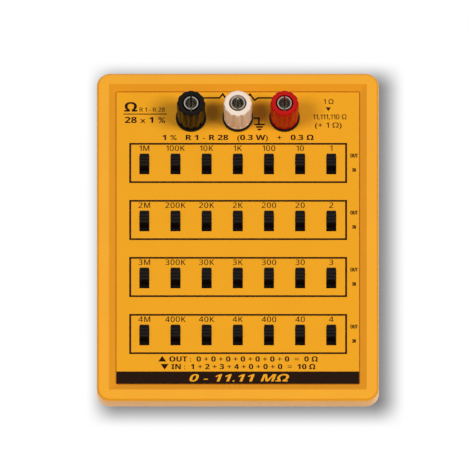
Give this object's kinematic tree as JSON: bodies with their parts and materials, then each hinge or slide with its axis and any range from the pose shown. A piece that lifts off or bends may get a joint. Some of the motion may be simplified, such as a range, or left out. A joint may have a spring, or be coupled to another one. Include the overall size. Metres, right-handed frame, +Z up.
{
  "type": "decade resistance box",
  "caption": "Flat amber bench box with rows of slide switches that add resistors in series and three fluted binding posts with sockets.",
  "frame": {"origin": "on the bench surface, under the middle of the case", "axes": "+Z up out of the panel, +Y towards the binding posts, +X to the right of the panel"},
  "size_m": [0.115, 0.146, 0.0448],
  "materials": {
    "case_amber": "fine moulded texture, satin",
    "panel_amber": "printed satin paint",
    "foot_rubber": "moulded",
    "screw_steel": "zinc plated",
    "board_green": "solder mask",
    "terminal_brass": "tinned",
    "resistor_body": "lacquered",
    "post_black": "moulded gloss",
    "wire_sleeve": "extruded",
    "frame_steel": "tinned sheet",
    "housing_black": "moulded",
    "stud_nickel": "nickel plated brass",
    "washer_steel": "plated",
    "cap_black": "moulded gloss",
    "cap_white": "moulded gloss",
    "cap_red": "moulded gloss",
    "knob_black": "moulded"
  },
  "bodies": {
    "case": {"top_cover": "case_amber", "bottom_tub": "case_amber", "face_plate": "panel_amber", "feet": "foot_rubber", "case_screws": "screw_steel", "board_screws": "screw_steel", "circuit_board": "board_green", "switch_terminals": "terminal_brass", "resistors": "resistor_body", "post_collars": "post_black", "post_bushes": "post_black", "post_nuts": "terminal_brass", "solder_tags": "terminal_brass", "hookup_wires": "wire_sleeve", "switch_frames_row_1": "frame_steel", "switch_housings_row_1": "housing_black", "switch_frames_row_2": "frame_steel", "switch_housings_row_2": "housing_black", "switch_frames_row_3": "frame_steel", "switch_housings_row_3": "housing_black", "switch_frames_row_4": "frame_steel", "switch_housings_row_4": "housing_black", "black_stud": "stud_nickel", "white_stud": "stud_nickel", "red_stud": "stud_nickel"},
    "knob_1m": {"knob_1m": "knob_black"},
    "knob_100k": {"knob_100k": "knob_black"},
    "knob_10k": {"knob_10k": "knob_black"},
    "knob_1k": {"knob_1k": "knob_black"},
    "knob_100": {"knob_100": "knob_black"},
    "knob_10": {"knob_10": "knob_black"},
    "knob_1": {"knob_1": "knob_black"},
    "knob_2m": {"knob_2m": "knob_black"},
    "knob_200k": {"knob_200k": "knob_black"},
    "knob_20k": {"knob_20k": "knob_black"},
    "knob_2k": {"knob_2k": "knob_black"},
    "knob_200": {"knob_200": "knob_black"},
    "knob_20": {"knob_20": "knob_black"},
    "knob_2": {"knob_2": "knob_black"},
    "knob_3m": {"knob_3m": "knob_black"},
    "knob_300k": {"knob_300k": "knob_black"},
    "knob_30k": {"knob_30k": "knob_black"},
    "knob_3k": {"knob_3k": "knob_black"},
    "knob_300": {"knob_300": "knob_black"},
    "knob_30": {"knob_30": "knob_black"},
    "knob_3": {"knob_3": "knob_black"},
    "knob_4m": {"knob_4m": "knob_black"},
    "knob_400k": {"knob_400k": "knob_black"},
    "knob_40k": {"knob_40k": "knob_black"},
    "knob_4k": {"knob_4k": "knob_black"},
    "knob_400": {"knob_400": "knob_black"},
    "knob_40": {"knob_40": "knob_black"},
    "knob_4": {"knob_4": "knob_black"},
    "black_clamp": {"black_clamp_washer": "washer_steel"},
    "black_cap": {"black_cap": "cap_black"},
    "white_clamp": {"white_clamp_washer": "washer_steel"},
    "white_cap": {"white_cap": "cap_white"},
    "red_clamp": {"red_clamp_washer": "washer_steel"},
    "red_cap": {"red_cap": "cap_red"}
  },
  "joints": [
    {"name": "knob_1m_slide", "type": "slide", "parent": "case", "child": "knob_1m", "axis": [0, -1, 0], "range_m": [0, 0.003]},
    {"name": "knob_100k_slide", "type": "slide", "parent": "case", "child": "knob_100k", "axis": [0, -1, 0], "range_m": [0, 0.003]},
    {"name": "knob_10k_slide", "type": "slide", "parent": "case", "child": "knob_10k", "axis": [0, -1, 0], "range_m": [0, 0.003]},
    {"name": "knob_1k_slide", "type": "slide", "parent": "case", "child": "knob_1k", "axis": [0, -1, 0], "range_m": [0, 0.003]},
    {"name": "knob_100_slide", "type": "slide", "parent": "case", "child": "knob_100", "axis": [0, -1, 0], "range_m": [0, 0.003]},
    {"name": "knob_10_slide", "type": "slide", "parent": "case", "child": "knob_10", "axis": [0, -1, 0], "range_m": [0, 0.003]},
    {"name": "knob_1_slide", "type": "slide", "parent": "case", "child": "knob_1", "axis": [0, -1, 0], "range_m": [0, 0.003]},
    {"name": "knob_2m_slide", "type": "slide", "parent": "case", "child": "knob_2m", "axis": [0, -1, 0], "range_m": [0, 0.003]},
    {"name": "knob_200k_slide", "type": "slide", "parent": "case", "child": "knob_200k", "axis": [0, -1, 0], "range_m": [0, 0.003]},
    {"name": "knob_20k_slide", "type": "slide", "parent": "case", "child": "knob_20k", "axis": [0, -1, 0], "range_m": [0, 0.003]},
    {"name": "knob_2k_slide", "type": "slide", "parent": "case", "child": "knob_2k", "axis": [0, -1, 0], "range_m": [0, 0.003]},
    {"name": "knob_200_slide", "type": "slide", "parent": "case", "child": "knob_200", "axis": [0, -1, 0], "range_m": [0, 0.003]},
    {"name": "knob_20_slide", "type": "slide", "parent": "case", "child": "knob_20", "axis": [0, -1, 0], "range_m": [0, 0.003]},
    {"name": "knob_2_slide", "type": "slide", "parent": "case", "child": "knob_2", "axis": [0, -1, 0], "range_m": [0, 0.003]},
    {"name": "knob_3m_slide", "type": "slide", "parent": "case", "child": "knob_3m", "axis": [0, -1, 0], "range_m": [0, 0.003]},
    {"name": "knob_300k_slide", "type": "slide", "parent": "case", "child": "knob_300k", "axis": [0, -1, 0], "range_m": [0, 0.003]},
    {"name": "knob_30k_slide", "type": "slide", "parent": "case", "child": "knob_30k", "axis": [0, -1, 0], "range_m": [0, 0.003]},
    {"name": "knob_3k_slide", "type": "slide", "parent": "case", "child": "knob_3k", "axis": [0, -1, 0], "range_m": [0, 0.003]},
    {"name": "knob_300_slide", "type": "slide", "parent": "case", "child": "knob_300", "axis": [0, -1, 0], "range_m": [0, 0.003]},
    {"name": "knob_30_slide", "type": "slide", "parent": "case", "child": "knob_30", "axis": [0, -1, 0], "range_m": [0, 0.003]},
    {"name": "knob_3_slide", "type": "slide", "parent": "case", "child": "knob_3", "axis": [0, -1, 0], "range_m": [0, 0.003]},
    {"name": "knob_4m_slide", "type": "slide", "parent": "case", "child": "knob_4m", "axis": [0, -1, 0], "range_m": [0, 0.003]},
    {"name": "knob_400k_slide", "type": "slide", "parent": "case", "child": "knob_400k", "axis": [0, -1, 0], "range_m": [0, 0.003]},
    {"name": "knob_40k_slide", "type": "slide", "parent": "case", "child": "knob_40k", "axis": [0, -1, 0], "range_m": [0, 0.003]},
    {"name": "knob_4k_slide", "type": "slide", "parent": "case", "child": "knob_4k", "axis": [0, -1, 0], "range_m": [0, 0.003]},
    {"name": "knob_400_slide", "type": "slide", "parent": "case", "child": "knob_400", "axis": [0, -1, 0], "range_m": [0, 0.003]},
    {"name": "knob_40_slide", "type": "slide", "parent": "case", "child": "knob_40", "axis": [0, -1, 0], "range_m": [0, 0.003]},
    {"name": "knob_4_slide", "type": "slide", "parent": "case", "child": "knob_4", "axis": [0, -1, 0], "range_m": [0, 0.003]},
    {"name": "black_lift", "type": "slide", "parent": "case", "child": "black_clamp", "axis": [0, 0, 1], "range_m": [0, 0.0048]},
    {"name": "black_turn", "type": "hinge", "parent": "black_clamp", "child": "black_cap", "pos_m": [-0.01905, 0.0535, 0.032], "axis": [0, 0, 1], "range_deg": [0, 2160]},
    {"name": "white_lift", "type": "slide", "parent": "case", "child": "white_clamp", "axis": [0, 0, 1], "range_m": [0, 0.0048]},
    {"name": "white_turn", "type": "hinge", "parent": "white_clamp", "child": "white_cap", "pos_m": [0, 0.0535, 0.032], "axis": [0, 0, 1], "range_deg": [0, 2160]},
    {"name": "red_lift", "type": "slide", "parent": "case", "child": "red_clamp", "axis": [0, 0, 1], "range_m": [0, 0.0048]},
    {"name": "red_turn", "type": "hinge", "parent": "red_clamp", "child": "red_cap", "pos_m": [0.01905, 0.0535, 0.032], "axis": [0, 0, 1], "range_deg": [0, 2160]}
  ],
  "couplings": [
    {"joint": "black_turn", "follows": "black_lift", "rad_per_m": 7853.9},
    {"joint": "white_turn", "follows": "white_lift", "rad_per_m": 7853.9},
    {"joint": "red_turn", "follows": "red_lift", "rad_per_m": 7853.9}
  ]
}
